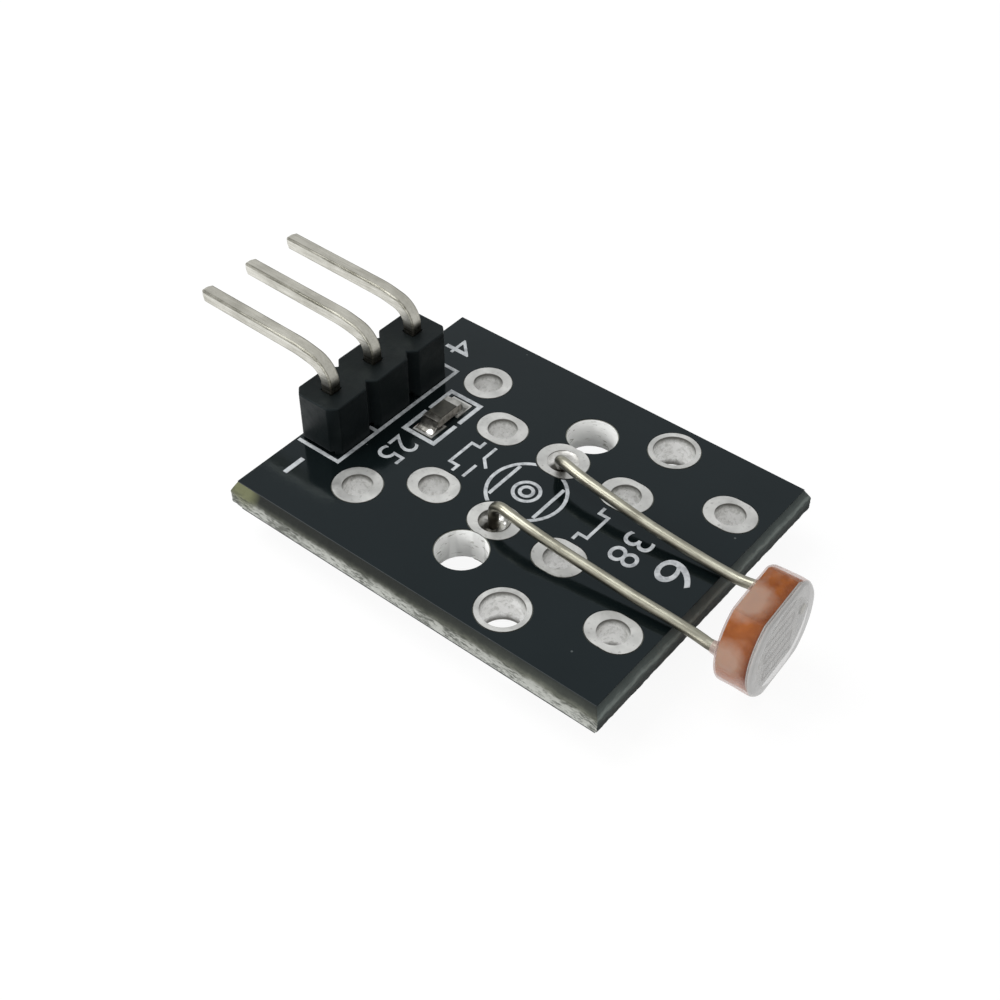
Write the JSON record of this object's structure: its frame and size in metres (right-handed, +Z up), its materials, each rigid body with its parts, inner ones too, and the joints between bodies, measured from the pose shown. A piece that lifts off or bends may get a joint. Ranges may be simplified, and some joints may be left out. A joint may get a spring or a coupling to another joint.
{
  "type": "photoresistor sensor module",
  "caption": "Small black circuit board with a bent pin header at one end and a photoresistor held past the other end on its two bent leads.",
  "frame": {"origin": "On the underside of the board, midway between the two fixing holes.", "axes": "+X runs along the board from the pin header to the photoresistor, +Y across the board, +Z up out of the side that carries the parts."},
  "size_m": [0.0283, 0.0148, 0.0072],
  "materials": {
    "laminate": "satin",
    "solder_mask": "gloss",
    "print": "matte",
    "copper": "satin",
    "tinned_pad": "satin",
    "solder": "polished",
    "tinned_pin": "satin",
    "tinned_lead": "satin",
    "housing": "satin",
    "chip_ceramic": "matte",
    "chip_film": "matte",
    "chip_coat": "satin",
    "sensor_ceramic": "matte",
    "sensor_film": "satin",
    "sensor_comb": "satin",
    "clear_resin": "gloss"
  },
  "bodies": {
    "root": {"circuit_board": "laminate", "copper_tracks": "copper", "solder_mask_top": "solder_mask", "solder_mask_bottom": "solder_mask", "header_plated_holes": "tinned_pad", "lead_plated_holes": "tinned_pad", "switch_plated_holes": "tinned_pad", "round_plated_holes": "tinned_pad", "end_plated_holes": "tinned_pad", "fixing_hole_rings": "tinned_pad", "printed_outlines": "print", "header_housing": "housing", "header_pin_1": "tinned_pin", "header_pin_2": "tinned_pin", "header_pin_3": "tinned_pin", "header_solder_joints": "solder", "resistor_lands": "tinned_pad", "resistor_body": "chip_ceramic", "resistor_film": "chip_film", "resistor_overcoat": "chip_coat", "resistor_cap_a": "solder", "resistor_cap_b": "solder", "resistor_solder_a": "solder", "resistor_solder_b": "solder", "sensor_ceramic_disc": "sensor_ceramic", "sensor_light_film": "sensor_film", "sensor_electrode_a": "sensor_comb", "sensor_electrode_b": "sensor_comb", "sensor_clear_coat": "clear_resin", "lead_a": "tinned_lead", "lead_b": "tinned_lead", "lead_solder_a": "solder", "lead_solder_b": "solder"}
  },
  "joints": []
}
